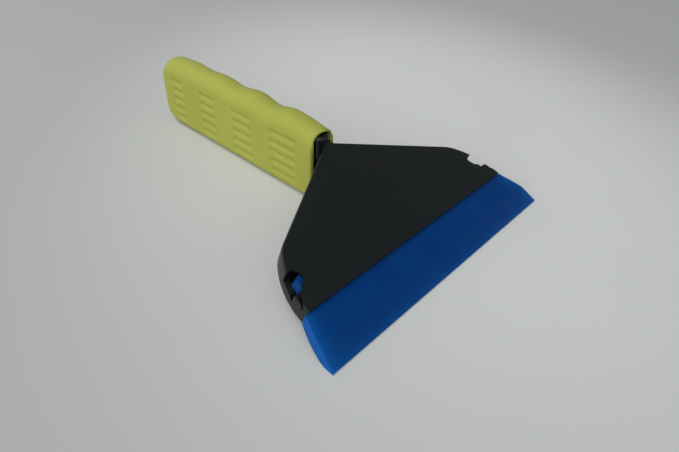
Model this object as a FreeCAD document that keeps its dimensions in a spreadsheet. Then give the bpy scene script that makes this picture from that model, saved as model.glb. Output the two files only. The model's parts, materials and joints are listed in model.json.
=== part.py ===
"""Hand squeegee for applying window film and vinyl: a fan-shaped head on a tall narrow core, a
polyurethane blade pushed into a slot along the head's front edge, and a soft sleeve over the core.

Frame: millimetres, +Z up, +X across the tool, +Y from the blade towards the end of the grip.
The tool lies on its blade edge and on the underside of the grip. The origin is on that surface,
under the middle of the tool's length and width.

"Run" is distance up the sloping face from the head's front edge, "drop" is distance below the
face, square to it, and "reach" is distance out from the head's front edge, down the slope.
"""
import FreeCAD, Part
import os
import Sketcher

doc = FreeCAD.newDocument("squeegee")
sheet = doc.addObject("Spreadsheet::Sheet", "Sizes")

DRIVING = [
    # attitude of the tool on the surface it lies on
    ("slope", 19.1, "degrees the head and the blade slope down towards the blade edge"),
    # fan-shaped head
    ("head_front_half", 68.0, "half width at the front edge"),
    ("head_end_round", 40.5, "radius of the ends in plan, square to the front edge where they meet it"),
    ("head_shoulder_run", 27.0, "run of the shoulders"),
    ("head_neck_run", 59.9, "run at which the long edges reach the neck"),
    ("neck_half", 2.4, "half width of the neck"),
    ("head_thick", 8.5, "thickness, square to the face"),
    ("head_shoulder_round", 18.0, "radius of the shoulders in plan"),
    ("head_edge_round", 0.8, "radius along the face's long edges"),
    ("face_wall", 1.2, "wall between the face and the blade slot"),
    ("slot_run", 17.0, "depth of the blade slot, front to back"),
    ("slot_end_wall", 3.4, "wall at the slot's ends, at the front edge"),
    # windows in the head's ends, over the rear corners of the blade
    ("window_front_run", 8.3, "run of the window's front end"),
    ("window_inner_run", 11.8, "run at which the window's inner side turns towards the front end"),
    ("window_back_run", 16.9, "run of the window's back end"),
    ("window_lap", 2.8, "how far the window's inner side lies inside the tang's back corner"),
    ("window_drop", 4.2, "depth of the window below the face"),
    ("window_corner", 1.6, "cut across the window's back corner"),
    ("window_side_drop", 5.6, "depth of the side wall's slanting cut at the window's front end"),
    # bar in front of each window, parted from the face by a narrow groove
    ("bar_drop", 0.8, "depth of the bar's top below the face"),
    ("bar_back_wall", 0.8, "wall between the slot and the groove at the window"),
    ("bar_front_run", 2.0, "run at which the groove leaves the head"),
    ("groove_wide", 0.6, "width of the groove"),
    ("groove_drop", 2.2, "depth of the groove below the face"),
    # ribbed underside of the head
    ("skin", 2.2, "skin left under the face"),
    ("edge_wall", 2.6, "wall left along the head's edges"),
    ("slot_back_wall", 3.0, "wall left behind the blade slot"),
    ("rib_thick", 1.6, "thickness of the ribs"),
    ("rib_pitch", 18.0, "spacing of the ribs across the head"),
    # core that the sleeve is pushed on to
    ("core_half", 4.5, "half width"),
    ("nose_setback", 1.4, "from the end of the head's long edges to the front of the core, level"),
    ("nose_round", 4.0, "radius of the core's front corners in plan"),
    ("foot_setback", 9.5, "from the front of the core to its lower front corner, level"),
    ("core_step", 1.0, "how far the core stands inside the bore, above, below and at the sides"),
    ("core_end_round", 10.0, "radius of the core's back corners in side view"),
    ("core_top_round", 2.0, "radius along the core's top edges"),
    ("web_half", 1.5, "half thickness of the web between the core's side recesses"),
    ("recess_length", 12.0, "length of one side recess"),
    ("recess_pitch", 15.6, "spacing of the side recesses along the core"),
    ("recess_setback", 8.3, "from the front of the core to the first recess, level"),
    ("recess_edge", 4.0, "material above and below the recesses"),
    ("recess_end_wall", 4.0, "least wall behind the last recess"),
    ("land_thick", 2.0, "thickness of the lands that carry the sleeve"),
    # blade
    ("blade_overhang", 1.4, "how far each end stands out past the head where it leaves it"),
    ("blade_flare", 5.6, "how much further each end stands out at the wiping edge"),
    ("blade_bow", 1.3, "how far each end bows out from a straight line"),
    ("blade_thick", 4.7, "thickness of the sheet"),
    ("blade_reach", 21.9, "reach of the wiping edge"),
    ("blade_bevel_reach", 12.6, "reach at which the upper bevel starts"),
    ("blade_tip_drop", 4.5, "drop of the wiping edge's lower corner"),
    ("blade_tip_thick", 0.5, "thickness left at the wiping edge"),
    ("tang_run", 14.2, "length of the tang"),
    ("tang_straight_run", 6.6, "length of the tang's parallel part"),
    ("tang_narrowing", 2.3, "how much each side of the tang comes in at its back edge"),
    ("tang_round", 3.0, "radius of the tang's back corners"),
    # sleeve
    ("mouth_setback", 2.2, "from the front of the core to the sleeve's mouth, level"),
    ("grip_length", 129.8, "length"),
    ("grip_half", 8.1, "half width"),
    ("grip_height", 40.4, "height at the finger swells"),
    ("grip_wall", 2.6, "wall between the bore and the outside"),
    ("mouth_wall", 1.2, "wall over the bore at the sleeve's mouth"),
    ("closed_end", 14.0, "thickness of the closed end, level"),
    ("bore_round", 3.0, "radius of the bore's corners"),
    ("grip_edge_round", 6.0, "radius along the sleeve's long edges"),
    ("grip_end_low_round", 18.0, "radius of the closed end's lower corner in side view"),
    ("grip_end_high_round", 14.0, "radius of the closed end's upper corner in side view"),
    ("finger_pitch", 31.5, "spacing of the hollows between the fingers"),
    ("finger_setback", 33.8, "from the sleeve's mouth to the first hollow"),
    ("finger_depth", 1.8, "depth of the hollows"),
    ("finger_round", 38.0, "radius of the hollows"),
    ("mouth_depth", 3.6, "how far the sleeve's top falls to its mouth"),
    # clearances
    ("blade_fit", 0.1, "between the tang and each wall of its slot"),
    ("shoulder_gap", 0.1, "between the blade's shoulders and the head's front edge"),
    ("sleeve_fit", 0.08, "between the lands and the sleeve's bore"),
    ("sleeve_stop_gap", 0.1, "between the core's end and the end of the bore"),
]

DERIVED = [
    ("face_height", "=blade_reach * sin(slope) + blade_tip_drop * cos(slope)",
     "height of the head's front edge, which puts the wiping edge on the surface"),
    ("tip_forward", "=blade_reach * cos(slope) - blade_tip_drop * sin(slope)",
     "how far the wiping edge lies in front of the head's front edge, level"),
    ("core_front", "=head_neck_run * cos(slope) + nose_setback",
     "distance from the head's front edge to the front of the core, level"),
    ("grip_front", "=core_front + mouth_setback",
     "distance from the head's front edge to the sleeve's mouth, level"),
    ("datum_shift", "=(tip_forward - grip_front - grip_length) / 2",
     "place of the head's front edge, with the origin under the middle of the tool"),
    ("blade_drop", "=face_wall + blade_fit", "drop of the blade's upper face"),
    ("blade_under", "=blade_drop + blade_thick", "drop of the blade's lower face"),
    ("facet_reach", "=blade_reach - (blade_under - blade_tip_drop) / tan(slope)",
     "reach at which the lower facet, which lies on the surface, starts"),
    ("slot_under", "=blade_under + blade_fit", "drop of the slot's floor"),
    ("tang_half", "=head_front_half - slot_end_wall - blade_fit", "half width of the tang in the head"),
    ("tang_back_half", "=tang_half - tang_narrowing", "half width at the tang's back edge"),
    ("tang_taper", "=tang_narrowing / (tang_run - tang_straight_run)",
     "how fast the tang narrows towards its back edge"),
    ("slot_back_half", "=tang_half + blade_fit - tang_taper * (slot_run - tang_straight_run)",
     "half width of the slot at its back"),
    ("blade_root_half", "=head_front_half + blade_overhang", "half width where it leaves the head"),
    ("blade_tip_half", "=blade_root_half + blade_flare", "half width at the wiping edge"),
    ("blade_end_square", "=blade_flare ^ 2 + (blade_reach - shoulder_gap) ^ 2",
     "square of the straight distance along one of the blade's ends"),
    ("blade_end_round", "=blade_end_square / (8 * blade_bow) + blade_bow / 2",
     "radius of the blade's ends in plan"),
    ("window_inner_half", "=tang_back_half - window_lap",
     "distance from the middle of the head to the window's inner side"),
    ("tang_inset", "=tang_taper * (window_front_run - tang_straight_run)",
     "how far the tang has come in at the window's front end"),
    ("bar_back_half", "=tang_half + blade_fit - tang_inset + bar_back_wall",
     "distance from the middle of the head to the groove at the window"),
    ("groove_rate", "=(head_front_half - bar_back_half) / (window_front_run - bar_front_run)",
     "how fast the groove runs outwards"),
    ("head_end_centre", "=head_front_half - head_end_round",
     "distance from the middle of the head to the centre of an end's round"),
    ("head_shoulder_half", "=head_end_centre + sqrt(head_end_round ^ 2 - head_shoulder_run ^ 2)",
     "half width at the shoulders, before they are rounded"),
    ("edge_rate", "=(head_shoulder_half - neck_half) / (head_neck_run - head_shoulder_run)",
     "how fast the long edges close in towards the neck"),
    ("edge_inset", "=edge_wall * sqrt(1 + edge_rate ^ 2)",
     "the edge wall, measured across the head"),
    ("bore_half", "=grip_half - grip_wall", "half width of the bore"),
    ("hollow_half", "=head_shoulder_half - edge_inset - edge_wall", "half width of the hollow underside"),
    ("hollow_turn", "=head_shoulder_run + edge_wall / edge_rate",
     "run at which the hollow starts to close in"),
    ("hollow_back_half", "=core_half + 2 * edge_wall", "half width of the hollow's back end"),
    ("hollow_back", "=head_neck_run - (edge_inset + hollow_back_half - neck_half) / edge_rate",
     "run of the hollow's back end"),
    ("grip_bore_top", "=grip_height - mouth_depth - mouth_wall", "height of the bore's roof"),
    ("finger_first", "=grip_front + finger_setback",
     "distance from the head's front edge to the first hollow, level"),
    ("finger_count", "=floor((grip_length - finger_setback - grip_end_low_round) / finger_pitch) + 1",
     "number of hollows"),
    ("core_top", "=grip_bore_top - core_step", "height of the core's top"),
    ("core_under", "=grip_wall + core_step", "height of the core's underside"),
    ("bore_back", "=grip_front + grip_length - closed_end", "distance to the end of the bore, level"),
    ("core_back", "=bore_back - sleeve_stop_gap", "distance to the back of the core, level"),
    ("neck_top_run", "=core_front / cos(slope) + 2", "run at which the face ends inside the core"),
    ("recess_start", "=core_front + recess_setback",
     "distance from the head's front edge to the first recess, level"),
    ("recess_space", "=core_back - recess_end_wall - recess_start",
     "length of the core that has recesses"),
    ("recess_count", "=floor((recess_space - recess_length) / recess_pitch) + 1",
     "number of recesses on each side"),
    ("land_start", "=recess_start + (recess_length + recess_pitch - land_thick) / 2",
     "distance from the head's front edge to the first land, level"),
    ("land_pitch", "=2 * recess_pitch", "spacing of the lands, one after every second recess"),
    ("land_count", "=floor((core_back - land_thick - land_start) / land_pitch) + 1", "number of lands"),
]

for row, (alias, value, note) in enumerate(DRIVING + DERIVED, start=1):
    sheet.set(f"A{row}", note)
    sheet.set(f"B{row}", str(value))
    sheet.setAlias(f"B{row}", alias)
doc.recompute()


def size(alias):
    """The value of one cell of the sheet."""
    return float(sheet.get(alias))


def bind(thing, prop, formula):
    """Ties a property to the sheet; names in the formula that start with @ are its cells."""
    thing.setExpression(prop, formula.replace("@", "Sizes."))


def number(formula):
    """The present value of a formula, for laying out a sketch near its solved shape."""
    return float(sheet.evalExpression(formula.replace("@", "Sizes.")))


def new_body(name):
    """A body set at the tool's datum along Y."""
    body = doc.addObject("PartDesign::Body", name)
    body.Label = name
    body.Placement = FreeCAD.Placement(FreeCAD.Vector(0, size("datum_shift"), 0), FreeCAD.Rotation())
    bind(body, "Placement.Base.y", "@datum_shift")
    return body


def origin_plane(body, role):
    """One of the body's own origin planes."""
    return next(item for item in body.Origin.OriginFeatures if item.Role == role)


def new_sketch(body, name, role, offset=None):
    """A sketch on an origin plane of the body, lifted along the plane's normal by a formula."""
    sketch = body.newObject("Sketcher::SketchObject", name)
    sketch.AttachmentSupport = [(origin_plane(body, role), "")]
    sketch.MapMode = "FlatFace"
    if offset:
        bind(sketch, "AttachmentOffset.Base.z", offset)
    return sketch


def slope_sketch(body, name, drop="0"):
    """A sketch parallel to the head's face, at a drop below it; its y is the run."""
    sketch = new_sketch(body, name, "XY_Plane")
    tilt = FreeCAD.Rotation(FreeCAD.Vector(1, 0, 0), size("slope"))
    sketch.AttachmentOffset = FreeCAD.Placement(FreeCAD.Vector(0, 0, 0), tilt)
    bind(sketch, "AttachmentOffset.Rotation.Angle", "@slope")
    bind(sketch, "AttachmentOffset.Base.y", f"({drop}) * sin(@slope)")
    bind(sketch, "AttachmentOffset.Base.z", f"@face_height - ({drop}) * cos(@slope)")
    return sketch


def pin_point(sketch, line, end, x, y):
    """Holds one end of a line at x, y, each given as a formula."""
    for kind, formula, prop in (("DistanceX", x, "x"), ("DistanceY", y, "y")):
        value = number(formula)
        if abs(value) < 1e-9:
            axis = -2 if prop == "x" else -1
            sketch.addConstraint(Sketcher.Constraint("PointOnObject", line, end, axis))
            continue
        index = sketch.addConstraint(Sketcher.Constraint(kind, -1, 1, line, end, value))
        bind(sketch, f"Constraints[{index}]", formula)


def polygon(sketch, corners):
    """A closed outline through corners given as pairs of formulas.

    The side that leaves a corner is straight, or, where the corner has a third formula, an arc of
    that radius that bulges to the right of the way round.
    """
    points = [FreeCAD.Vector(number(corner[0]), number(corner[1]), 0) for corner in corners]
    first = sketch.GeometryCount
    for corner, start, end in zip(corners, points, points[1:] + points[:1]):
        side = Part.LineSegment(start, end)
        if len(corner) == 3:
            radius = number(corner[2])
            along = end - start
            right = FreeCAD.Vector(along.y, -along.x, 0).normalize()
            rise = radius - (radius ** 2 - (along.Length / 2) ** 2) ** 0.5
            side = Part.Arc(start, (start + end) / 2 + right * rise, end)
        sketch.addGeometry(side, False)
    for k, corner in enumerate(corners):
        pin_point(sketch, first + k, 1, corner[0], corner[1])
        following = first + (k + 1) % len(corners)
        sketch.addConstraint(Sketcher.Constraint("Coincident", first + k, 2, following, 1))
        if len(corner) == 3:
            index = sketch.addConstraint(Sketcher.Constraint("Radius", first + k, number(corner[2])))
            bind(sketch, f"Constraints[{index}]", corner[2])


def box_outline(sketch, x0, x1, y0, y1):
    """A rectangle between four formulas."""
    polygon(sketch, [(x0, y0), (x1, y0), (x1, y1), (x0, y1)])


def round_box_outline(sketch, half, y0, y1, radius):
    """A rectangle, centred on x = 0, with rounded corners."""
    w, low, high, r = (number(formula) for formula in (half, y0, y1, radius))
    corner = [(w - r, low + r, -90), (w - r, high - r, 0), (r - w, high - r, 90), (r - w, low + r, 180)]
    straight = [((w, low + r), (w, high - r)), ((w - r, high), (r - w, high)),
                ((-w, high - r), (-w, low + r)), ((r - w, low), (w - r, low))]
    vector = FreeCAD.Vector
    for (cx, cy, start), (a, b) in zip(corner, straight):
        circle = Part.Circle(vector(cx, cy, 0), vector(0, 0, 1), r)
        angle = [FreeCAD.Units.Quantity(f"{start + turn} deg").getValueAs("rad").Value for turn in (0, 90)]
        sketch.addGeometry(Part.ArcOfCircle(circle, *angle), False)
        sketch.addGeometry(Part.LineSegment(vector(*a, 0), vector(*b, 0)), False)
    for k in range(4):
        arc, line, following = 2 * k, 2 * k + 1, (2 * k + 2) % 8
        sketch.addConstraint(Sketcher.Constraint("Tangent", arc, 2, line, 1))
        sketch.addConstraint(Sketcher.Constraint("Tangent", line, 2, following, 1))
        sketch.addConstraint(Sketcher.Constraint("Vertical" if k % 2 == 0 else "Horizontal", line))
    for k in range(3):
        sketch.addConstraint(Sketcher.Constraint("Equal", 2 * k, 2 * k + 2))
    index = sketch.addConstraint(Sketcher.Constraint("Radius", 0, r))
    bind(sketch, f"Constraints[{index}]", radius)
    for line, kind, formula in ((1, "DistanceX", half), (5, "DistanceX", f"-({half})"),
                                (3, "DistanceY", y1), (7, "DistanceY", y0)):
        index = sketch.addConstraint(Sketcher.Constraint(kind, -1, 1, line, 1, number(formula)))
        bind(sketch, f"Constraints[{index}]", formula)


def volume(body):
    """The body's volume after a recompute."""
    doc.recompute()
    return body.Shape.Volume


def pad(body, sketch, length, symmetric=False, downward=False):
    """Adds material, and makes sure that it did."""
    before = volume(body) if body.Tip else 0.0
    feature = body.newObject("PartDesign::Pad", sketch.Name + "Pad")
    feature.Profile = sketch
    bind(feature, "Length", length)
    feature.SideType = "Symmetric" if symmetric else "One side"
    feature.Reversed = downward
    if volume(body) <= before:
        raise ValueError(feature.Name + " adds nothing")
    return feature


def pocket(body, sketch, length, symmetric=False, upward=False):
    """Cuts material away, and makes sure that it did."""
    before = volume(body)
    feature = body.newObject("PartDesign::Pocket", sketch.Name + "Pocket")
    feature.Profile = sketch
    bind(feature, "Length", length)
    feature.SideType = "Symmetric" if symmetric else "One side"
    feature.Reversed = upward
    if volume(body) >= before:
        raise ValueError(feature.Name + " cuts nothing")
    return feature


def fillet(body, name, radius, wanted):
    """Rounds each edge of the body whose two ends and middle point pass the test."""
    doc.recompute()
    base = body.Tip
    names = []
    for k, edge in enumerate(base.Shape.Edges, start=1):
        middle = edge.valueAt((edge.FirstParameter + edge.LastParameter) / 2)
        if wanted(edge, middle):
            names.append(f"Edge{k}")
    if not names:
        raise ValueError(name + " has no edges")
    feature = body.newObject("PartDesign::Fillet", name)
    feature.Base = (base, names)
    bind(feature, "Radius", radius)
    doc.recompute()
    return feature


def row_along(body, feature, name, pitch, count):
    """Repeats a feature along +Y; the count is a formula too."""
    before = volume(body)
    pattern = body.newObject("PartDesign::LinearPattern", name)
    pattern.Originals = [feature]
    axis = next(item for item in body.Origin.OriginFeatures if item.Role == "Y_Axis")
    pattern.Direction = (axis, [""])
    pattern.Mode = "Spacing"
    bind(pattern, "Offset", pitch)
    bind(pattern, "Occurrences", count)
    body.Tip = pattern
    if abs(volume(body) - before) < 1:
        raise ValueError(name + " repeats nothing")
    return pattern


def face_frame(point):
    """Across, run and drop of a point of the model."""
    tilt = FreeCAD.Rotation(FreeCAD.Vector(1, 0, 0), -size("slope"))
    local = tilt.multVec(point - FreeCAD.Vector(0, 0, size("face_height")))
    return local.x, local.y, -local.z


# ---- holder: the fan head and the core, moulded in one piece

holder = new_body("holder")
fan = slope_sketch(holder, "Fan")
polygon(fan, [
    ("-@head_front_half", "0"),
    ("@head_front_half", "0", "@head_end_round"),
    ("@head_shoulder_half", "@head_shoulder_run"),
    ("@neck_half", "@head_neck_run"),
    ("@neck_half", "@neck_top_run"),
    ("-@neck_half", "@neck_top_run"),
    ("-@neck_half", "@head_neck_run"),
    ("-@head_shoulder_half", "@head_shoulder_run", "@head_end_round"),
])
pad(holder, fan, "@head_thick", downward=True)


def shoulder_edge(edge, middle):
    across, run, drop = face_frame(middle)
    at_side = abs(abs(across) - size("head_shoulder_half")) < 0.01
    return at_side and abs(run - size("head_shoulder_run")) < 0.01


fillet(holder, "Shoulders", "@head_shoulder_round", shoulder_edge)


HEAD_UNDER = "(@face_height + {} * tan(@slope) - @head_thick / cos(@slope))"
nose_foot = HEAD_UNDER.format("@core_front")
nose = new_sketch(holder, "Nose", "XY_Plane", nose_foot)
round_box_outline(nose, "@core_half", "@core_front", "@core_front + 4 * @nose_round", "@nose_round")
pad(holder, nose, f"@core_top - {nose_foot}")

spine = new_sketch(holder, "Spine", "YZ_Plane")
gusset_front = "(@hollow_back * cos(@slope) + @head_thick * sin(@slope))"
polygon(spine, [
    ("@core_front + 2 * @nose_round", "@core_top"),
    ("@core_front + 2 * @nose_round", HEAD_UNDER.format("(@core_front + 2 * @nose_round)")),
    (gusset_front, HEAD_UNDER.format(gusset_front)),
    ("@core_front + @foot_setback", "@core_under"),
    ("@core_back", "@core_under"),
    ("@core_back", "@core_top"),
])
pad(holder, spine, "2 * @core_half", symmetric=True)


def face_outline_edge(edge, middle):
    across, run, drop = face_frame(middle)
    return abs(drop) < 0.01 and size("head_shoulder_run") < run < size("head_neck_run")


fillet(holder, "FaceEdges", "@head_edge_round", face_outline_edge)


def core_end_edge(edge, middle):
    at_end = abs(middle.y - size("core_back")) < 0.01
    return at_end and abs(middle.x) < 0.01 and edge.BoundBox.XLength > size("core_half")


fillet(holder, "CoreEnd", "@core_end_round", core_end_edge)


def core_top_edge(edge, middle):
    along_top = abs(middle.z - size("core_top")) < 0.01
    return along_top and abs(abs(middle.x) - size("core_half")) < 0.01


fillet(holder, "CoreTop", "@core_top_round", core_top_edge)

windows = slope_sketch(holder, "Windows", "-1")
bars = slope_sketch(holder, "Bars", "-1")
grooves = slope_sketch(holder, "Grooves", "-1")
BAR_BACK = "(@bar_back_half - @groove_rate / 2)"
for side in ("", "-"):
    polygon(windows, [
        (f"{side}@window_inner_half", "@window_inner_run"),
        (f"{side}@bar_back_half", "@window_front_run"),
        (f"{side}(@head_front_half + 5)", "@window_front_run"),
        (f"{side}(@head_front_half + 5)", "@window_back_run"),
        (f"{side}(@window_inner_half + @window_corner)", "@window_back_run"),
        (f"{side}@window_inner_half", "@window_back_run - @window_corner"),
    ])
    polygon(bars, [
        (f"{side}{BAR_BACK}", "@window_front_run + 0.5"),
        (f"{side}@head_front_half", "@bar_front_run"),
        (f"{side}(@head_front_half + 5)", "@bar_front_run"),
        (f"{side}(@head_front_half + 5)", "@window_front_run + 0.5"),
    ])
    polygon(grooves, [
        (f"{side}{BAR_BACK}", "@window_front_run + 0.5"),
        (f"{side}@head_front_half", "@bar_front_run"),
        (f"{side}(@head_front_half + @groove_wide)", "@bar_front_run"),
        (f"{side}({BAR_BACK} + @groove_wide)", "@window_front_run + 0.5"),
    ])
pocket(holder, windows, "@window_drop + 1")
pocket(holder, bars, "@bar_drop + 1")
pocket(holder, grooves, "@groove_drop + 1")

for side, outwards in (("", True), ("-", False)):
    cut = new_sketch(holder, "WallCut" if outwards else "FarWallCut", "YZ_Plane",
                     f"{side}@tang_back_half")
    polygon(cut, [
        ("@window_back_run * cos(@slope)", "@face_height + @window_back_run * sin(@slope)"),
        ("@window_front_run * cos(@slope) + @window_side_drop * sin(@slope)",
         "@face_height + @window_front_run * sin(@slope) - @window_side_drop * cos(@slope)"),
        ("@window_front_run * cos(@slope)", "@face_height + @window_front_run * sin(@slope)"),
    ])
    pocket(holder, cut, "@head_front_half", upward=outwards)

slot = slope_sketch(holder, "Slot", "@face_wall")
polygon(slot, [
    ("-(@tang_half + @blade_fit)", "-5"),
    ("@tang_half + @blade_fit", "-5"),
    ("@tang_half + @blade_fit", "@tang_straight_run"),
    ("@slot_back_half", "@slot_run"),
    ("-@slot_back_half", "@slot_run"),
    ("-(@tang_half + @blade_fit)", "@tang_straight_run"),
])
pocket(holder, slot, "@slot_under - @face_wall")

hollow = slope_sketch(holder, "Hollow", "@skin")
polygon(hollow, [
    ("-@hollow_half", "@slot_run + @slot_back_wall"),
    ("@hollow_half", "@slot_run + @slot_back_wall"),
    ("@hollow_half", "@hollow_turn"),
    ("@hollow_back_half", "@hollow_back"),
    ("-@hollow_back_half", "@hollow_back"),
    ("-@hollow_half", "@hollow_turn"),
])
pocket(holder, hollow, "@head_thick - @skin + 5")

RIB_STEPS = 2
ribs = slope_sketch(holder, "Ribs", "@skin - 0.5")
for step in range(-RIB_STEPS, RIB_STEPS + 1):
    place = f"({step} * @rib_pitch)"
    reach = f"(@head_shoulder_run + (@head_shoulder_half - @edge_inset / 2 - abs{place}) / @edge_rate)"
    back = reach if step else "(@hollow_back + @edge_wall)"
    box_outline(ribs, f"{place} - @rib_thick / 2", f"{place} + @rib_thick / 2",
                "@slot_run + @slot_back_wall / 2", back + " - @rib_thick / @edge_rate")
pad(holder, ribs, "@head_thick - @skin + 0.5", downward=True)

recess = new_sketch(holder, "Recess", "YZ_Plane", "@core_half")
box_outline(recess, "@recess_start", "@recess_start + @recess_length",
            "@core_under + @recess_edge", "@core_top - @recess_edge")
recess_cut = pocket(holder, recess, "@core_half - @web_half")
far_recess = new_sketch(holder, "FarRecess", "YZ_Plane", "-@core_half")
box_outline(far_recess, "@recess_start", "@recess_start + @recess_length",
            "@core_under + @recess_edge", "@core_top - @recess_edge")
far_cut = pocket(holder, far_recess, "@core_half - @web_half", upward=True)
row_along(holder, recess_cut, "RecessRow", "@recess_pitch", "@recess_count")
row_along(holder, far_cut, "FarRecessRow", "@recess_pitch", "@recess_count")

land = new_sketch(holder, "Land", "XZ_Plane", "-@land_start")
round_box_outline(land, "@bore_half - @sleeve_fit", "@grip_wall + @sleeve_fit",
                  "@grip_bore_top - @sleeve_fit", "@bore_round")
land_pad = pad(holder, land, "@land_thick", downward=True)
row_along(holder, land_pad, "LandRow", "@land_pitch", "@land_count")


# ---- blade: cut from polyurethane sheet, bevelled above and below to its wiping edge

blade = new_body("blade")
tilt = FreeCAD.Rotation(FreeCAD.Vector(1, 0, 0), size("slope"))
blade.Placement = FreeCAD.Placement(FreeCAD.Vector(0, size("datum_shift"), size("face_height")), tilt)
bind(blade, "Placement.Base.z", "@face_height")
bind(blade, "Placement.Rotation.Angle", "@slope")

sheet_plan = new_sketch(blade, "SheetPlan", "XY_Plane", "-@blade_drop")
polygon(sheet_plan, [
    ("-@tang_half", "-@shoulder_gap"),
    ("-@blade_root_half", "-@shoulder_gap", "@blade_end_round"),
    ("-@blade_tip_half", "-@blade_reach"),
    ("@blade_tip_half", "-@blade_reach", "@blade_end_round"),
    ("@blade_root_half", "-@shoulder_gap"),
    ("@tang_half", "-@shoulder_gap"),
    ("@tang_half", "@tang_straight_run"),
    ("@tang_back_half", "@tang_run"),
    ("-@tang_back_half", "@tang_run"),
    ("-@tang_half", "@tang_straight_run"),
])
pad(blade, sheet_plan, "@blade_thick", downward=True)


def tang_corner_edge(edge, middle):
    at_side = abs(abs(middle.x) - size("tang_back_half")) < 0.01
    return at_side and abs(middle.y - size("tang_run")) < 0.01


fillet(blade, "TangCorners", "@tang_round", tang_corner_edge)

upper_bevel = new_sketch(blade, "UpperBevel", "YZ_Plane")
polygon(upper_bevel, [
    ("-@blade_bevel_reach", "-@blade_drop"),
    ("-@blade_reach", "@blade_tip_thick - @blade_tip_drop"),
    ("-@blade_reach - 5", "@blade_tip_thick - @blade_tip_drop"),
    ("-@blade_reach - 5", "-@blade_drop"),
])
pocket(blade, upper_bevel, "4 * @blade_tip_half", symmetric=True)

lower_facet = new_sketch(blade, "LowerFacet", "YZ_Plane")
polygon(lower_facet, [
    ("-@facet_reach", "-@blade_under"),
    ("-@blade_reach", "-@blade_tip_drop"),
    ("-@blade_reach - 5", "-@blade_tip_drop"),
    ("-@blade_reach - 5", "-@blade_under"),
])
pocket(blade, lower_facet, "4 * @blade_tip_half", symmetric=True)


# ---- grip sleeve: soft moulding, closed at the back, with hollows for the fingers along its top

sleeve = new_body("grip_sleeve")
side_view = new_sketch(sleeve, "SideView", "YZ_Plane")
box_outline(side_view, "@grip_front", "@grip_front + @grip_length", "0", "@grip_height")
pad(sleeve, side_view, "2 * @grip_half", symmetric=True)


def closed_end_edge(height):
    def wanted(edge, middle):
        at_end = abs(middle.y - size("grip_front") - size("grip_length")) < 0.01
        return at_end and abs(middle.z - height) < 0.01 and abs(middle.x) < 0.01
    return wanted


fillet(sleeve, "LowEnd", "@grip_end_low_round", closed_end_edge(0.0))
fillet(sleeve, "HighEnd", "@grip_end_high_round", closed_end_edge(size("grip_height")))


def sleeve_side_edge(edge, middle):
    at_side = abs(abs(middle.x) - size("grip_half")) < 0.01
    return at_side and middle.y > size("grip_front") + 0.01


fillet(sleeve, "LongEdges", "@grip_edge_round", sleeve_side_edge)

finger = new_sketch(sleeve, "Finger", "YZ_Plane")
centre = FreeCAD.Vector(number("@finger_first"), number("@grip_height + @finger_round - @finger_depth"), 0)
finger.addGeometry(Part.Circle(centre, FreeCAD.Vector(0, 0, 1), size("finger_round")), False)
FINGER_TIES = [
    (Sketcher.Constraint("Radius", 0, size("finger_round")), "@finger_round"),
    (Sketcher.Constraint("DistanceX", -1, 1, 0, 3, centre.x), "@finger_first"),
    (Sketcher.Constraint("DistanceY", -1, 1, 0, 3, centre.y),
     "@grip_height + @finger_round - @finger_depth"),
]
for constraint, formula in FINGER_TIES:
    tie = finger.addConstraint(constraint)
    bind(finger, f"Constraints[{tie}]", formula)
finger_cut = pocket(sleeve, finger, "4 * @grip_half", symmetric=True)
row_along(sleeve, finger_cut, "FingerRow", "@finger_pitch", "@finger_count")

mouth = new_sketch(sleeve, "Mouth", "YZ_Plane")
polygon(mouth, [
    ("@grip_front - 1", "@grip_height - @mouth_depth"),
    ("@grip_front", "@grip_height - @mouth_depth"),
    ("(@grip_front + @finger_first) / 2", "@grip_height"),
    ("(@grip_front + @finger_first) / 2", "@grip_height + 1"),
    ("@grip_front - 1", "@grip_height + 1"),
])
pocket(sleeve, mouth, "4 * @grip_half", symmetric=True)

bore = new_sketch(sleeve, "Bore", "XZ_Plane", "-@grip_front")
round_box_outline(bore, "@bore_half", "@grip_wall", "@grip_bore_top", "@bore_round")
pocket(sleeve, bore, "@bore_back - @grip_front")


# ---- check the model and write it

doc.recompute()
for item in doc.Objects:
    if "Invalid" in item.State or "Error" in item.State:
        raise ValueError(item.Name + " did not build")

os.makedirs("parts", exist_ok=True)
for body in (holder, blade, sleeve):
    if body.Shape.isNull() or not body.Shape.isValid():
        raise ValueError(body.Label + " has no valid shape")
    body.Shape.exportStep(f"parts/{body.Label}.step")
    bounds = body.Shape.optimalBoundingBox(False)
    print(f"{body.Label}: volume {body.Shape.Volume:.1f} mm3, solids {len(body.Shape.Solids)}, "
          f"x {bounds.XMin:.2f}..{bounds.XMax:.2f}, y {bounds.YMin:.2f}..{bounds.YMax:.2f}, "
          f"z {bounds.ZMin:.2f}..{bounds.ZMax:.2f}")
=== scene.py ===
"""Looks of a hand squeegee for laying vinyl and window film.

Lengths are written in millimetres and turned to metres where they are used. "Reach" is distance
out from the head's front edge down the slope, "drop" is distance below the head's face, and
"along" is distance from the sleeve's mouth towards its closed end.
"""

import json
import math

import bmesh
import bpy
import numpy as np
from mathutils import Matrix, Vector


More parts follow.
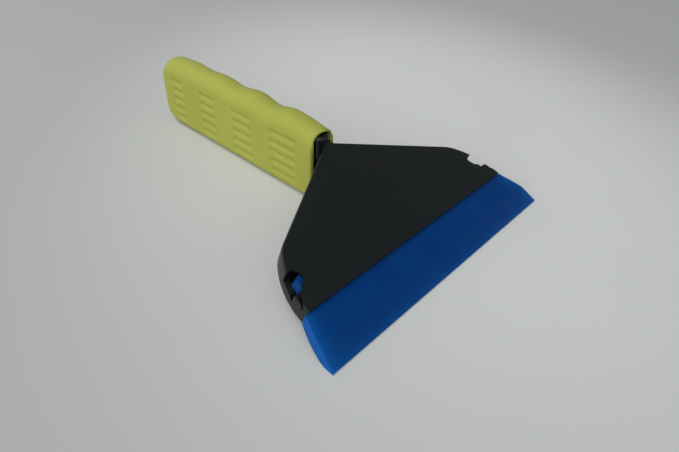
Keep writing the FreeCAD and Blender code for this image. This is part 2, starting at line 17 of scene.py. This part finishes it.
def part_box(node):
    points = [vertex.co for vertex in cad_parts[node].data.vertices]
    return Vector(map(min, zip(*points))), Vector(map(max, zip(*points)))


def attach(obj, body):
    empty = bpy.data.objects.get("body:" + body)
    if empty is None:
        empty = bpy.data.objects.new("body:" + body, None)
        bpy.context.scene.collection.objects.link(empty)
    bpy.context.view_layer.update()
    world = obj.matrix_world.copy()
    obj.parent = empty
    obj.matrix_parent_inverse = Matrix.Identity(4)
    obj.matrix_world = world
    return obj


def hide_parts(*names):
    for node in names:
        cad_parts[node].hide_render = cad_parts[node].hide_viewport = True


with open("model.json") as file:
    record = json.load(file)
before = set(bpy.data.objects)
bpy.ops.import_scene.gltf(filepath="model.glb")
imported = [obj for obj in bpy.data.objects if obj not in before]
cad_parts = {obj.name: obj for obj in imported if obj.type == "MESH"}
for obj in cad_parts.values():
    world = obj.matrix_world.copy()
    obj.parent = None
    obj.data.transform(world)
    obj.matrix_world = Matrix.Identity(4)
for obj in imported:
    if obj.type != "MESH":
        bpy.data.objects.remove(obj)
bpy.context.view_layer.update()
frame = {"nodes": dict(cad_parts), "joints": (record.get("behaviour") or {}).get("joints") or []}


# ---- Head and core
# One moulding in black glass-filled nylon, straight from a spark-eroded tool, which leaves a fine
# even grain with a soft sheen. It is not painted, and its face is bare.

MM = 0.001
CORE_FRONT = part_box("grip_sleeve")[0].y - 2.2 * MM
CORE_BLEND = 2.0 * MM


def linear(hex_colour):
    """An sRGB hex colour as linear RGBA."""
    parts = [int(hex_colour[k:k + 2], 16) / 255 for k in (1, 3, 5)]
    return [c / 12.92 if c <= 0.04045 else ((c + 0.055) / 1.055) ** 2.4 for c in parts] + [1.0]


def add_node(tree, kind, settings=None, **links):
    """Adds one node: settings are its own properties, links are its inputs, as values or sockets."""
    node = tree.nodes.new(kind)
    for name, value in (settings or {}).items():
        setattr(node, name, value)
    for name, value in links.items():
        key = int(name[1:]) if name[0] == "_" else name.replace("_", " ")
        socket = node.inputs[key]
        if isinstance(value, bpy.types.NodeSocket):
            tree.links.new(value, socket)
        else:
            socket.default_value = value
    return node


def new_material(name):
    """A material with an empty tree and its output."""
    material = bpy.data.materials.new(name)
    material.use_nodes = True
    material.node_tree.nodes.clear()
    tree = material.node_tree
    return material, tree, tree.nodes.new("ShaderNodeOutputMaterial")


def workshop_dust(tree, place, spacing):
    """Sparse pale specks 0.2 to 0.4 mm across, in about one in four cells of the given spacing."""
    cells = add_node(tree, "ShaderNodeTexVoronoi", Vector=place, Scale=1 / (spacing * MM))
    picked = add_node(tree, "ShaderNodeSeparateColor", Color=cells.outputs["Color"])
    chosen = add_node(tree, "ShaderNodeMath", {"operation": "GREATER_THAN"},
                      _0=picked.outputs[0], _1=0.72)
    speck = add_node(tree, "ShaderNodeMapRange", Value=cells.outputs["Distance"],
                     _1=0.2 / spacing, _2=0.1 / spacing)
    return add_node(tree, "ShaderNodeMath", {"operation": "MULTIPLY"},
                    _0=chosen.outputs[0], _1=speck.outputs[0]).outputs[0]


def black_moulded_nylon():
    """Satin black that hardly shines: a spark-eroded grain about 0.4 mm across, drawn coarser than
    the real one so that it shows, clouds about 30 mm across and a little dust. The core, most of
    which the sleeve hides, comes from a polished part of the mould and shines a little more."""
    material, tree, output = new_material("black_moulded_nylon")
    place = add_node(tree, "ShaderNodeTexCoord").outputs["Object"]
    grain = add_node(tree, "ShaderNodeTexNoise", Vector=place, Scale=2.6 / MM, Detail=2.0)
    cloud = add_node(tree, "ShaderNodeTexNoise", Vector=place, Scale=0.035 / MM, Detail=3.0)
    plastic = add_node(tree, "ShaderNodeMixRGB", _0=cloud.outputs["Fac"],
                       _1=linear("#03090B"), _2=linear("#090F11"))
    dusty = add_node(tree, "ShaderNodeMixRGB", _0=workshop_dust(tree, place, 7.0),
                     _1=plastic.outputs[0], _2=linear("#3C4244"))
    grained = add_node(tree, "ShaderNodeMapRange", Value=cloud.outputs["Fac"], _3=0.36, _4=0.50)
    back = add_node(tree, "ShaderNodeSeparateXYZ", Vector=place).outputs["Y"]
    core = add_node(tree, "ShaderNodeMapRange", Value=back, _1=CORE_FRONT - CORE_BLEND, _2=CORE_FRONT)
    polish = add_node(tree, "ShaderNodeMix", _0=core.outputs[0], _2=grained.outputs[0], _3=0.3)
    bump = add_node(tree, "ShaderNodeBump", Strength=0.12, Distance=0.1 * MM,
                    Height=grain.outputs["Fac"])
    shader = add_node(tree, "ShaderNodeBsdfPrincipled", Base_Color=dusty.outputs[0],
                      Roughness=polish.outputs[0], IOR=1.5, Specular_IOR_Level=0.4,
                      Normal=bump.outputs["Normal"])
    tree.links.new(shader.outputs[0], output.inputs["Surface"])
    return material


holder = frame["nodes"]["holder"]
holder.data.materials.clear()
holder.data.materials.append(black_moulded_nylon())


# ---- Blade
# Cast polyurethane sheet, deep blue and faintly translucent. The light that gathers in its cut ends,
# in the thin wiping edge and faintly in the tang is painted into its colour as a paler blue glow.
# Its ends flare outwards and lean, wider underneath. A tang holds it in the head's slot, with soft
# back corners that are squeezed into the head's windows.

slope_axis = Vector(next(j for j in frame["joints"] if j["name"] == "blade_draw")["axis"])
SLOPE = math.atan2(-slope_axis.z, -slope_axis.y)
BLADE_REACH = 21.9
BLADE_BEVEL_REACH = 12.6
BLADE_TOP_DROP, BLADE_UNDER_DROP = 1.3, 6.0
BLADE_TIP_DROP, BLADE_TIP_THICK = 4.5, 0.5
BLADE_ROOT_HALF, BLADE_FLARE, BLADE_BOW = 69.4, 5.6, 1.3
BLADE_LEAN, BLADE_LEAN_RUN = 0.9, 2.0
TANG_HALF, TANG_RUN, TANG_STRAIGHT_RUN, TANG_NARROWING, TANG_ROUND = 64.5, 14.2, 6.6, 0.2, 2.0
CORNER_LEAN, CORNER_LEAN_RUN = 2.5, 1.5
# Shares of the painted glow: at the cut ends, fading in over CUT_END_DEPTH, at the thin edge and in the
# tang.
CUT_END_PAINTED_GLOW, CUT_END_DEPTH = 0.75, 3.2
THIN_EDGE_PAINTED_GLOW, TANG_PAINTED_GLOW = 0.3, 0.1
CUT_EDGE_ROUND, CUT_EDGE_ANGLE = 0.25, 28
FACE_FRONT_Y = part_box("holder")[0].y / MM
FACE_FRONT_Z = BLADE_REACH * math.sin(SLOPE) + BLADE_TIP_DROP * math.cos(SLOPE)


def on_slope(across, reach, drop):
    """A point of the model, in metres, from its place on the sloping head."""
    y = FACE_FRONT_Y - reach * math.cos(SLOPE) + drop * math.sin(SLOPE)
    z = FACE_FRONT_Z - reach * math.sin(SLOPE) - drop * math.cos(SLOPE)
    return across * MM, y * MM, z * MM


def mesh_object(name, points, faces, material):
    """A mesh piece at the origin."""
    mesh = bpy.data.meshes.new(name)
    mesh.from_pydata([tuple(p) for p in points], [], faces)
    mesh.validate()
    piece = bpy.data.objects.new(name, mesh)
    bpy.context.scene.collection.objects.link(piece)
    mesh.materials.append(material)
    return piece


def outward(piece):
    """Turns all faces of a closed mesh outwards."""
    work = bmesh.new()
    work.from_mesh(piece.data)
    bmesh.ops.remove_doubles(work, verts=work.verts, dist=1e-7)
    bmesh.ops.recalc_face_normals(work, faces=work.faces)
    work.to_mesh(piece.data)
    work.free()


def cast_polyurethane():
    """Deep blue with a soft sheen from the mould, with a paler blue glow painted in where the sheet is
    thin or cut, standing in for light gathered there, wipe marks about 1 mm across, clouds about 17 mm
    across and a little dust."""
    material, tree, output = new_material("cast_polyurethane")
    place = add_node(tree, "ShaderNodeTexCoord").outputs["Object"]
    thin = add_node(tree, "ShaderNodeAttribute", {"attribute_name": "painted_edge_glow"})
    cloud = add_node(tree, "ShaderNodeTexNoise", Vector=place, Scale=0.06 / MM, Detail=3.0)
    wipe = add_node(tree, "ShaderNodeTexNoise", Vector=place, Scale=0.9 / MM, Detail=2.0)
    deep = add_node(tree, "ShaderNodeMixRGB", _0=cloud.outputs["Fac"],
                    _1=linear("#002F68"), _2=linear("#003979"))
    # Painted light: a paler blue mixed in where the blade's ends and thin edge would gather light.
    lit = add_node(tree, "ShaderNodeMixRGB", _0=thin.outputs["Fac"],
                   _1=deep.outputs[0], _2=linear("#0658A2"))
    colour = add_node(tree, "ShaderNodeMixRGB", _0=workshop_dust(tree, place, 9.0),
                      _1=lit.outputs[0], _2=linear("#5F86B0"))
    polish = add_node(tree, "ShaderNodeMapRange", Value=wipe.outputs["Fac"], _3=0.34, _4=0.46)
    bump = add_node(tree, "ShaderNodeBump", Strength=0.05, Distance=0.1 * MM,
                    Height=wipe.outputs["Fac"])
    shader = add_node(tree, "ShaderNodeBsdfPrincipled", Base_Color=colour.outputs[0],
                      Roughness=polish.outputs[0], IOR=1.5, Specular_IOR_Level=0.1,
                      Subsurface_Weight=0.1, Subsurface_Scale=2 * MM, Normal=bump.outputs["Normal"])
    shader.inputs["Subsurface Radius"].default_value = (0.1, 0.3, 1.0)
    tree.links.new(shader.outputs[0], output.inputs["Surface"])
    return material


def blade_half_width(reach):
    """Half width: the flare outside the head, the tapering tang inside it."""
    if reach < 0:
        taper = max(0.0, -reach - TANG_STRAIGHT_RUN) / (TANG_RUN - TANG_STRAIGHT_RUN)
        corner = max(0.0, -reach - TANG_RUN + TANG_ROUND) / TANG_ROUND
        rounding = TANG_ROUND * (1 - math.sqrt(max(0.0, 1 - corner * corner)))
        return TANG_HALF - TANG_NARROWING * taper - rounding
    out = reach / BLADE_REACH
    return BLADE_ROOT_HALF + BLADE_FLARE * out + 4 * BLADE_BOW * out * (1 - out)


def blade_piece():
    """The blade as rows of points across it, front to back, on its upper and lower faces."""
    reaches = ([step - TANG_RUN for step in (0.0, 0.1, 0.4, 1.0, 1.8, 3.0, 5.2)]
               + [-TANG_STRAIGHT_RUN, -3.0, -0.12, 0.1, 0.6, 1.5, 3.0, 5.0, 7.0, 9.0, 11.0]
               + [BLADE_BEVEL_REACH + step for step in (-0.3, 0.0, 0.3)]
               + list(np.linspace(14.0, BLADE_REACH, 9)))
    in_from_end = [0.0, 0.4, 1.0, 2.0, 3.5, 6.0, 10.0, 16.0, 28.0, 45.0]
    tip_top = BLADE_TIP_DROP - BLADE_TIP_THICK
    facet = BLADE_REACH - (BLADE_UNDER_DROP - BLADE_TIP_DROP) / math.tan(SLOPE)
    points, light, rows = [], [], []
    for reach in reaches:
        half = blade_half_width(reach)
        bevel = max(0.0, (reach - BLADE_BEVEL_REACH) / (BLADE_REACH - BLADE_BEVEL_REACH))
        upper = BLADE_TOP_DROP + (tip_top - BLADE_TOP_DROP) * bevel
        lower = BLADE_UNDER_DROP - max(0.0, reach - facet) * math.tan(SLOPE)
        thickness = (lower - upper) / (BLADE_UNDER_DROP - BLADE_TOP_DROP)
        lean = BLADE_LEAN * min(1.0, max(0.0, reach) / BLADE_LEAN_RUN) * thickness
        lean += CORNER_LEAN * min(1.0, max(0.0, -reach - TANG_STRAIGHT_RUN) / CORNER_LEAN_RUN)
        row = []
        for drop, inset in ((upper, lean), (lower, 0.0)):
            line = []
            for side in (-1, 1):
                steps = in_from_end if side < 0 else in_from_end[::-1]
                for step in steps:
                    line.append(len(points))
                    points.append(on_slope(side * (half - inset - step), reach, drop))
                    # Painted glow share per point: strongest at the cut ends, faint in the tang, rising
                    # towards the thin edge.
                    near_end = CUT_END_PAINTED_GLOW * math.exp(-step / CUT_END_DEPTH) if reach > 0 else TANG_PAINTED_GLOW
                    light.append(min(1.0, near_end + THIN_EDGE_PAINTED_GLOW * bevel ** 3))
            row.append(line)
        rows.append(row)
    faces = []
    count = 2 * len(in_from_end)
    for near, far in zip(rows, rows[1:]):
        for k in range(count - 1):
            faces.append((near[0][k], near[0][k + 1], far[0][k + 1], far[0][k]))
            faces.append((near[1][k], far[1][k], far[1][k + 1], near[1][k + 1]))
        for k in (0, count - 1):
            faces.append((near[0][k], far[0][k], far[1][k], near[1][k]))
    for row in (rows[0], rows[-1]):
        for k in range(count - 1):
            faces.append((row[0][k], row[0][k + 1], row[1][k + 1], row[1][k]))
    piece = mesh_object("squeegee_blade", points, faces, cast_polyurethane())
    glow = piece.data.attributes.new("painted_edge_glow", "FLOAT", "POINT")
    glow.data.foreach_set("value", light)
    outward(piece)
    rounding = piece.modifiers.new("cut_edges", "BEVEL")
    rounding.width = CUT_EDGE_ROUND * MM
    rounding.segments = 2
    rounding.limit_method = "ANGLE"
    rounding.angle_limit = math.radians(CUT_EDGE_ANGLE)
    return piece


blade = blade_piece()
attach(blade, "blade_body")
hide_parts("blade")


# ---- Grip sleeve
# Soft silicone, moulded with a matte grain, hollow and closed at the back. Finger swells run along
# its top, and four groups of five short louvre-like grooves, shorter towards the closed end, are
# sunk in each side.

SLEEVE_LOW, SLEEVE_HIGH = (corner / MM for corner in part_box("grip_sleeve"))
SLEEVE_LENGTH = SLEEVE_HIGH.y - SLEEVE_LOW.y
MOUTH_FALL, MOUTH_FALL_LENGTH, MOUTH_FALL_CURVE = 3.8, 40.0, 2.3
HOLLOW_FIRST, HOLLOW_PITCH, HOLLOW_COUNT = 34.2, 28.3, 3
HOLLOW_DEPTH, HOLLOW_DEPTH_LOST = 2.4, 0.85
END_FALL, END_FALL_LENGTH, END_FALL_CURVE = 1.8, 26.0, 1.5
END_PLAN_ROUND, END_LOW_ROUND, END_HIGH_ROUND = 6.5, 14.0, 13.0
LONG_EDGE_LOW_ROUND, LONG_EDGE_HIGH_ROUND = 4.5, 7.6
LIP_ROUND = 1.0
BARREL, BARREL_MIDDLE, BARREL_HALF = 0.035, 18.0, 20.0
BORE_HALF, BORE_LOW, BORE_HIGH, BORE_ROUND, BORE_LENGTH = 5.5, 2.6, 35.6, 3.0, 115.7
SIDE_ROWS, SIDE_ROWS_TOP, UPPER_ROWS, FLAT_ROWS = 96, 30.0, 10, 4
CORNER_STEPS, CORNER_STEP = 9, 10
CLOSED_END_LENGTH, CLOSED_END_RINGS, RING_SPACING = 18.0, 40, 0.62
GROOVES = {
    "First group": (SLEEVE_LOW.y + 20.2) * MM,
    "Group spacing": 31.9 * MM,
    "Spacing lost": 1.8 * MM,
    "Last group": 3.0,
    "First length": 19.5 * MM,
    "Length lost": 2.5 * MM,
    "Lowest groove": 6.6 * MM,
    "Groove spacing": 5.4 * MM,
    "Last groove": 4.0,
    "Half width": 2.0 * MM,
    "Depth": 1.3 * MM,
    "Inner wall": 6.4 * MM,
    "Deepest share": 0.4,
    "End share": 1.2,
    "Edge facing": 0.7,
    "Side facing": 0.9,
}


def matte_silicone():
    """Yellow-green silicone, dull from a fine matte grain about 0.45 mm across, drawn coarser than
    the real one so that it shows, with a faint paler bloom in clouds about 20 mm across."""
    material, tree, output = new_material("matte_silicone")
    place = add_node(tree, "ShaderNodeTexCoord").outputs["Object"]
    grain = add_node(tree, "ShaderNodeTexNoise", Vector=place, Scale=2.2 / MM, Detail=3.0)
    cloud = add_node(tree, "ShaderNodeTexNoise", Vector=place, Scale=0.045 / MM, Detail=4.0)
    colour = add_node(tree, "ShaderNodeMixRGB", _0=cloud.outputs["Fac"],
                      _1=linear("#9A9D40"), _2=linear("#A5A84C"))
    bump = add_node(tree, "ShaderNodeBump", Strength=0.12, Distance=0.1 * MM,
                    Height=grain.outputs["Fac"])
    shader = add_node(tree, "ShaderNodeBsdfPrincipled", Base_Color=colour.outputs[0],
                      Roughness=0.62, IOR=1.41, Specular_IOR_Level=0.3, Normal=bump.outputs["Normal"])
    tree.links.new(shader.outputs[0], output.inputs["Surface"])
    return material


def ring(half, low, high, low_round, high_round):
    """A rounded rectangle, x against z, counter-clockwise from the lower right. The rows of its
    sides lie at the same heights from ring to ring, up to SIDE_ROWS_TOP, to keep grooves clean."""
    low_round = min(low_round, half * 0.98, (high - low) * 0.45)
    high_round = min(high_round, half * 0.98, (high - low) * 0.45)
    foot, head = low + low_round, high - high_round
    split = min(SIDE_ROWS_TOP, foot + 0.97 * (head - foot))
    side = (list(np.linspace(foot, split, SIDE_ROWS, endpoint=False))
            + list(np.linspace(split, head, UPPER_ROWS, endpoint=False)))
    across_top = np.linspace(half - high_round, high_round - half, FLAT_ROWS, endpoint=False)
    across_foot = np.linspace(low_round - half, half - low_round, FLAT_ROWS, endpoint=False)
    points = []

    def corner(cx, cz, radius, start):
        for k in range(CORNER_STEPS):
            angle = math.radians(start + CORNER_STEP * k)
            points.append((cx + radius * math.cos(angle), cz + radius * math.sin(angle)))

    points.extend((half, z) for z in side)
    corner(half - high_round, head, high_round, 0)
    points.extend((x, high) for x in across_top)
    corner(high_round - half, head, high_round, 90)
    points.extend((-half, z) for z in [head] + side[:0:-1])
    corner(low_round - half, foot, low_round, 180)
    points.extend((x, low) for x in across_foot)
    corner(half - low_round, foot, low_round, 270)
    return points


def sleeve_top(along):
    """Height of the top: it falls away to the mouth, and hollows part the fingers."""
    near_mouth = max(0.0, 1 - along / MOUTH_FALL_LENGTH)
    height = SLEEVE_HIGH.z - MOUTH_FALL * near_mouth ** MOUTH_FALL_CURVE
    for k in range(HOLLOW_COUNT):
        off = min(1.0, abs(along - HOLLOW_FIRST - k * HOLLOW_PITCH) * 2 / HOLLOW_PITCH)
        height -= (HOLLOW_DEPTH - HOLLOW_DEPTH_LOST * k) * (0.5 + 0.5 * math.cos(math.pi * off))
    near_end = max(0.0, 1 - (SLEEVE_LENGTH - along) / END_FALL_LENGTH)
    return height - END_FALL * near_end ** END_FALL_CURVE


def barrelled(x, z):
    """The sides bow a little, fullest at mid height."""
    return x * (1 - BARREL * ((z - BARREL_MIDDLE) / BARREL_HALF) ** 2)


def quarter_round(radius, back):
    """How far a corner of that radius has come in, at a distance from the end."""
    return radius - math.sqrt(max(0.0, radius ** 2 - max(0.0, radius - back) ** 2))


def grooved_sides(material):
    """Nodes that sink the grooves: each has a steep upper wall and a long lower one, and fades out
    at its ends. A step names its result, then its operation and what it works on."""
    tree = bpy.data.node_groups.new("grooved_sides", "GeometryNodeTree")
    tree.interface.new_socket("Geometry", in_out="INPUT", socket_type="NodeSocketGeometry")
    tree.interface.new_socket("Geometry", in_out="OUTPUT", socket_type="NodeSocketGeometry")
    for name in GROOVES:
        tree.interface.new_socket(name, in_out="INPUT", socket_type="NodeSocketFloat")
    size = add_node(tree, "NodeGroupInput").outputs
    place = add_node(tree, "ShaderNodeSeparateXYZ",
                     Vector=add_node(tree, "GeometryNodeInputPosition").outputs[0]).outputs
    normal = add_node(tree, "GeometryNodeInputNormal").outputs[0]
    facing = add_node(tree, "ShaderNodeSeparateXYZ", Vector=normal).outputs["X"]
    known = {name: size[name] for name in GROOVES}
    known.update({"x": place["X"], "y": place["Y"], "z": place["Z"], "facing": facing})
    steps = (
        ("past first", "SUBTRACT", "y", "First group"),
        ("middle spacing", "SUBTRACT", "Group spacing", "Spacing lost"),
        ("spacings", "DIVIDE", "past first", "middle spacing"),
        ("nearest group", "ROUND", "spacings"),
        ("group or first", "MAXIMUM", "nearest group", 0.0),
        ("group", "MINIMUM", "group or first", "Last group"),
        ("group before", "SUBTRACT", "group", 1.0),
        ("twice the pairs", "MULTIPLY", "group", "group before"),
        ("pairs", "MULTIPLY", "twice the pairs", 0.5),
        ("even middle", "MULTIPLY", "group", "Group spacing"),
        ("middle lost", "MULTIPLY", "pairs", "Spacing lost"),
        ("middle", "SUBTRACT", "even middle", "middle lost"),
        ("off middle", "SUBTRACT", "past first", "middle"),
        ("from middle", "ABSOLUTE", "off middle"),
        ("shortening", "MULTIPLY", "group", "Length lost"),
        ("length", "SUBTRACT", "First length", "shortening"),
        ("half length", "MULTIPLY", "length", 0.5),
        ("past end", "SUBTRACT", "from middle", "half length"),
        ("above", "SUBTRACT", "z", "Lowest groove"),
        ("rows", "DIVIDE", "above", "Groove spacing"),
        ("nearest row", "ROUND", "rows"),
        ("row or first", "MAXIMUM", "nearest row", 0.0),
        ("row", "MINIMUM", "row or first", "Last groove"),
        ("row height", "MULTIPLY", "row", "Groove spacing"),
        ("across", "SUBTRACT", "above", "row height"),
        ("lower edge", "MULTIPLY", "Half width", -1.0),
        ("deepest", "MULTIPLY", "Half width", "Deepest share"),
        ("lower wall", "SMOOTHSTEP", "across", "lower edge", "deepest"),
        ("upper wall", "SMOOTHSTEP", "across", "Half width", "deepest"),
        ("full depth", "MULTIPLY", "lower edge", "End share"),
        ("ends", "SMOOTHSTEP", "past end", 0.0, "full depth"),
        ("sideways", "ABSOLUTE", "facing"),
        ("sides", "SMOOTHSTEP", "sideways", "Edge facing", "Side facing"),
        ("out", "ABSOLUTE", "x"),
        ("outer", "GREATER_THAN", "out", "Inner wall"),
        ("walls", "MULTIPLY", "lower wall", "upper wall"),
        ("limits", "MULTIPLY", "ends", "sides"),
        ("shape", "MULTIPLY", "walls", "limits"),
        ("outer shape", "MULTIPLY", "shape", "outer"),
        ("inward depth", "MULTIPLY", "Depth", -1.0),
        ("sunk", "MULTIPLY", "outer shape", "inward depth"),
    )
    for result, operation, *terms in steps:
        inputs = {f"_{k}": known.get(term, term) for k, term in enumerate(terms)}
        kind, setting = "ShaderNodeMath", "operation"
        if operation == "SMOOTHSTEP":
            kind, setting = "ShaderNodeMapRange", "interpolation_type"
        known[result] = add_node(tree, kind, {setting: operation}, **inputs).outputs[0]
    inwards = add_node(tree, "ShaderNodeVectorMath", {"operation": "SCALE"},
                       _0=normal, Scale=known["sunk"])
    moved = add_node(tree, "GeometryNodeSetPosition", Geometry=size["Geometry"], Offset=inwards.outputs[0])
    smooth = add_node(tree, "GeometryNodeSetShadeSmooth", _0=moved.outputs[0])
    real = add_node(tree, "GeometryNodeRealizeInstances", Geometry=smooth.outputs[0])
    finish = add_node(tree, "GeometryNodeSetMaterial", Geometry=real.outputs[0], Material=material)
    add_node(tree, "NodeGroupOutput", _0=finish.outputs[0])
    return tree


def sleeve_piece():
    """The sleeve as rings from the closed end to the mouth, over the lip and down the bore."""
    rings = []
    near_end = [CLOSED_END_LENGTH * (1 - math.cos(math.pi / 2 * k / CLOSED_END_RINGS))
                for k in range(1, CLOSED_END_RINGS + 1)]
    to_mouth = list(np.arange(CLOSED_END_LENGTH + 0.6, SLEEVE_LENGTH - LIP_ROUND, RING_SPACING))
    for back in near_end + to_mouth:
        along = SLEEVE_LENGTH - back
        turn = max(0.0, 1 - back / END_PLAN_ROUND)
        half = SLEEVE_HIGH.x * math.sqrt(max(1e-4, 1 - turn * turn))
        low = quarter_round(END_LOW_ROUND, back)
        high = sleeve_top(along) - quarter_round(END_HIGH_ROUND, back)
        rings.append([(barrelled(x, z), SLEEVE_LOW.y + along, z)
                      for x, z in ring(half, low, high, LONG_EDGE_LOW_ROUND, LONG_EDGE_HIGH_ROUND)])
    for angle in (60, 30, 0):
        inset = LIP_ROUND * (1 - math.sin(math.radians(angle)))
        along = LIP_ROUND * (1 - math.cos(math.radians(angle)))
        outline = ring(SLEEVE_HIGH.x - inset, inset, sleeve_top(0.0) - inset,
                       LONG_EDGE_LOW_ROUND, LONG_EDGE_HIGH_ROUND)
        rings.append([(barrelled(x, z), SLEEVE_LOW.y + along, z) for x, z in outline])
    lip_to_bore_end = ((0.5, 0.0), (0.15, 0.15), (0.0, 0.5),
                       (0.0, 30.0), (0.0, 70.0), (0.0, BORE_LENGTH))
    for wider, along in lip_to_bore_end:
        outline = ring(BORE_HALF + wider, BORE_LOW - wider, BORE_HIGH + wider, BORE_ROUND, BORE_ROUND)
        rings.append([(x, SLEEVE_LOW.y + along, z) for x, z in outline])
    count = len(rings[0])
    points = [(x * MM, y * MM, z * MM) for line in rings for x, y, z in line]
    faces = []
    for k in range(len(rings) - 1):
        for m in range(count):
            n = (m + 1) % count
            faces.append((k * count + m, k * count + n, (k + 1) * count + n, (k + 1) * count + m))
    faces.append(tuple(range(count)))
    faces.append(tuple(range((len(rings) - 1) * count, len(rings) * count)))
    silicone = matte_silicone()
    piece = mesh_object("soft_grip_sleeve", points, faces, silicone)
    outward(piece)
    sinker = piece.modifiers.new("grooved_sides", "NODES")
    sinker.node_group = grooved_sides(silicone)
    for socket in sinker.node_group.interface.items_tree:
        if socket.name in GROOVES:
            sinker[socket.identifier] = GROOVES[socket.name]
    evaluated = piece.evaluated_get(bpy.context.evaluated_depsgraph_get())
    grooved = bpy.data.meshes.new_from_object(evaluated)
    piece.modifiers.clear()
    piece.data = grooved
    return piece


sleeve = sleeve_piece()
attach(sleeve, "sleeve_body")
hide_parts("grip_sleeve")


# ---- Table, light and camera
# A pale matt table top that keeps the tool's shadow, with painted shade greying it away from the middle,
# a large soft lamp overhead, another from the left, and a room that is dimmer on one side, so that the
# black face mirrors little of it.

LIGHT_POOL_MIDDLE, LIGHT_POOL_SPREAD = (100.0, -30.0), (249.0, 362.0)
LIGHT_POOL_TURN = math.radians(-30.88)
TABLE_HALF = 3000.0
DIM_SIDE, DIM_FROM, DIM_FULL = (0.59, 0.04, 0.81), 0.3, 0.9
DIM_LIGHT, ROOM_LIGHT = 0.2, 1.0
LAMPS = {
    "overhead": ((-300.0, 300.0, 900.0), 700.0, 3.0),
    "from_the_left": ((-1400.0, -700.0, 500.0), 900.0, 5.0),
}
CAMERA_FROM_FRONT_EDGE = Vector((-156.9, -92.6, 150.2))
YAW, PITCH, ROLL = (math.radians(angle) for angle in (48.285, 37.741, -2.357))
LENS, SENSOR = 27.57, 36.0


def pale_table():
    """White laminate with a matt face: faint clouds about 80 mm across, and painted shade that greys
    the colour away from the middle, in an ellipse, where less light would fall."""
    material, tree, output = new_material("pale_table")
    place = add_node(tree, "ShaderNodeTexCoord").outputs["Object"]
    middle = add_node(tree, "ShaderNodeMapping", {"vector_type": "TEXTURE"}, Vector=place,
                      Location=[n * MM for n in LIGHT_POOL_MIDDLE] + [0.0],
                      Rotation=(0.0, 0.0, LIGHT_POOL_TURN), Scale=[n * MM for n in LIGHT_POOL_SPREAD] + [1.0])
    out = add_node(tree, "ShaderNodeVectorMath", {"operation": "LENGTH"}, _0=middle.outputs[0])
    # Painted shade: the table greys outside an ellipse round the tool, standing in for light falling off.
    painted_falloff = add_node(tree, "ShaderNodeMapRange", {"interpolation_type": "SMOOTHSTEP"},
                      Value=out.outputs["Value"], _1=0.3, _2=1.05)
    cloud = add_node(tree, "ShaderNodeTexNoise", Vector=place, Scale=0.012 / MM, Detail=3.0)
    white = add_node(tree, "ShaderNodeMixRGB", _0=cloud.outputs["Fac"],
                     _1=linear("#D0D2CE"), _2=linear("#D4D6D3"))
    colour = add_node(tree, "ShaderNodeMixRGB", _0=painted_falloff.outputs[0],
                      _1=white.outputs[0], _2=linear("#AFB1AF"))
    shader = add_node(tree, "ShaderNodeBsdfPrincipled", Base_Color=colour.outputs[0], Roughness=0.8)
    tree.links.new(shader.outputs[0], output.inputs["Surface"])
    return material


corners = [(x * TABLE_HALF * MM, y * TABLE_HALF * MM, 0.0) for x, y in ((-1, -1), (1, -1), (1, 1), (-1, 1))]
table = mesh_object("table_top", corners, [(0, 1, 2, 3)], pale_table())

world = bpy.data.worlds.new("soft_room")
bpy.context.scene.world = world
world.use_nodes = True
sky = world.node_tree.nodes["Background"]
sky.inputs["Color"].default_value = (0.97, 0.99, 1.0, 1.0)
outwards = add_node(world.node_tree, "ShaderNodeTexCoord").outputs["Generated"]
towards_dim_side = add_node(world.node_tree, "ShaderNodeVectorMath", {"operation": "DOT_PRODUCT"},
                            _0=outwards, _1=DIM_SIDE)
brightness = add_node(world.node_tree, "ShaderNodeMapRange", {"interpolation_type": "SMOOTHSTEP"},
                      Value=towards_dim_side.outputs["Value"], _1=DIM_FROM, _2=DIM_FULL,
                      _3=ROOM_LIGHT, _4=DIM_LIGHT)
world.node_tree.links.new(brightness.outputs[0], sky.inputs["Strength"])

for name, (place, width, power) in LAMPS.items():
    data = bpy.data.lights.new(name, "AREA")
    data.size = width * MM
    data.energy = power
    lamp = bpy.data.objects.new(name, data)
    bpy.context.scene.collection.objects.link(lamp)
    lamp.location = Vector(place) * MM
    lamp.rotation_euler = (-lamp.location).to_track_quat("-Z", "Y").to_euler()

camera_data = bpy.data.cameras.new("camera")
camera = bpy.data.objects.new("camera", camera_data)
bpy.context.scene.collection.objects.link(camera)
ahead = Vector((math.sin(YAW) * math.cos(PITCH), math.cos(YAW) * math.cos(PITCH), -math.sin(PITCH)))
level = Vector((math.cos(YAW), -math.sin(YAW), 0.0))
down = ahead.cross(level)
right = math.cos(ROLL) * level + math.sin(ROLL) * down
up = math.sin(ROLL) * level - math.cos(ROLL) * down
turn = Matrix((right, up, -ahead)).transposed().to_4x4()
place = (CAMERA_FROM_FRONT_EDGE + Vector((0.0, FACE_FRONT_Y, 0.0))) * MM
camera.matrix_world = Matrix.Translation(place) @ turn
camera_data.sensor_width = SENSOR
camera_data.lens = LENS
camera_data.clip_start = 0.005
bpy.context.scene.camera = camera
bpy.context.scene.view_settings.view_transform = "Standard"
